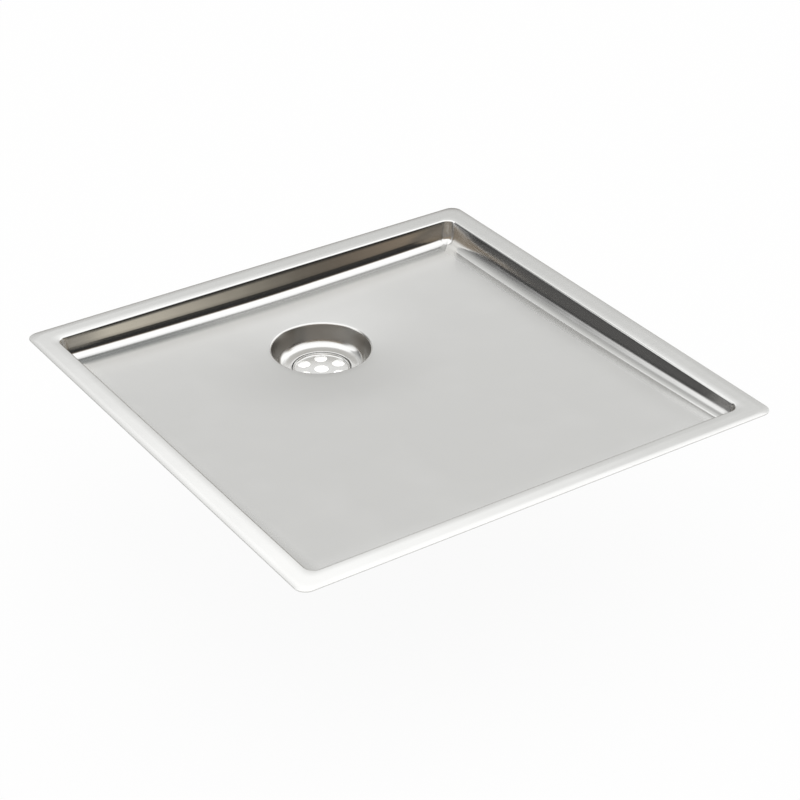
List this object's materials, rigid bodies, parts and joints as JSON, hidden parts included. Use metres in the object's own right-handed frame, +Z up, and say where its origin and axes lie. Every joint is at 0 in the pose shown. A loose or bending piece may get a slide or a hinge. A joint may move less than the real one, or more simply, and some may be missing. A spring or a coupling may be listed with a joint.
{
  "type": "inset drainer sink tray",
  "caption": "Square shallow stainless drainer tray for a worktop cut-out, with a flat thin rim, a floor falling to a round drain recess, a lift-out strainer and a threaded waste.",
  "frame": {"origin": "centre of the square cut-out, on the upper surface of the worktop that the rim rests on", "axes": "+X to the right along the front edge, +Y to the back edge beside the drain, +Z up out of the tray"},
  "size_m": [0.44, 0.44, 0.0875],
  "materials": {
    "stainless_satin": "satin pressed stainless sheet, polished walls",
    "stainless_strainer": "satin",
    "stainless_turned": "turned",
    "stainless_strip": "mill",
    "stainless_rail": "rolled",
    "spring_steel": "rolled spring strip",
    "foam": "closed-cell foam, matte",
    "rubber": "matte",
    "white_plastic": "moulded, slight sheen",
    "slip_plastic": "smooth",
    "nut_plastic": "moulded, fine grain",
    "damping_sheet": "matte sheet with embossed grain"
  },
  "bodies": {
    "sink": {"tray": "stainless_satin", "outlet_ring": "stainless_turned", "bonding_tag": "stainless_strip", "rail_front": "stainless_rail", "rail_back": "stainless_rail", "rail_left": "stainless_rail", "rail_right": "stainless_rail", "rim_seal": "foam", "outlet_gasket": "rubber", "waste_body": "white_plastic", "damping_pad_front": "damping_sheet", "damping_pad_left": "damping_sheet", "damping_pad_right": "damping_sheet"},
    "strainer": {"strainer_plate": "stainless_strainer"},
    "slip_ring": {"slip_ring": "slip_plastic"},
    "nut": {"union_nut": "nut_plastic"},
    "clip_back_left": {"clip_back_left": "spring_steel"},
    "clip_back_right": {"clip_back_right": "spring_steel"},
    "clip_left_front": {"clip_left_front": "spring_steel"},
    "clip_left_back": {"clip_left_back": "spring_steel"},
    "clip_front_right": {"clip_front_right": "spring_steel"},
    "clip_front_left": {"clip_front_left": "spring_steel"},
    "clip_right_back": {"clip_right_back": "spring_steel"},
    "clip_right_front": {"clip_right_front": "spring_steel"}
  },
  "joints": [
    {"name": "strainer_lift", "type": "slide", "parent": "sink", "child": "strainer", "axis": [0, 0, 1], "range_m": [0, 0.12]},
    {"name": "nut_drop", "type": "slide", "parent": "sink", "child": "slip_ring", "axis": [0, 0, -1], "range_m": [0, 0.0058]},
    {"name": "nut_turn", "type": "hinge", "parent": "slip_ring", "child": "nut", "pos_m": [0, 0.105, -0.05], "axis": [0, 0, -1], "range_deg": [0, 900]},
    {"name": "slide_back_left", "type": "slide", "parent": "sink", "child": "clip_back_left", "axis": [1, 0, 0], "range_m": [-0.045, 0.0857]},
    {"name": "slide_back_right", "type": "slide", "parent": "sink", "child": "clip_back_right", "axis": [1, 0, 0], "range_m": [-0.0857, 0.045]},
    {"name": "slide_left_front", "type": "slide", "parent": "sink", "child": "clip_left_front", "axis": [0, 1, 0], "range_m": [-0.045, 0.0857]},
    {"name": "slide_left_back", "type": "slide", "parent": "sink", "child": "clip_left_back", "axis": [0, 1, 0], "range_m": [-0.0857, 0.045]},
    {"name": "slide_front_right", "type": "slide", "parent": "sink", "child": "clip_front_right", "axis": [1, 0, 0], "range_m": [-0.0857, 0.045]},
    {"name": "slide_front_left", "type": "slide", "parent": "sink", "child": "clip_front_left", "axis": [1, 0, 0], "range_m": [-0.045, 0.0857]},
    {"name": "slide_right_back", "type": "slide", "parent": "sink", "child": "clip_right_back", "axis": [0, 1, 0], "range_m": [-0.0857, 0.045]},
    {"name": "slide_right_front", "type": "slide", "parent": "sink", "child": "clip_right_front", "axis": [0, 1, 0], "range_m": [-0.045, 0.0857]}
  ],
  "couplings": [
    {"joint": "nut_drop", "follows": "nut_turn", "m_per_rad": 0.00036749}
  ]
}
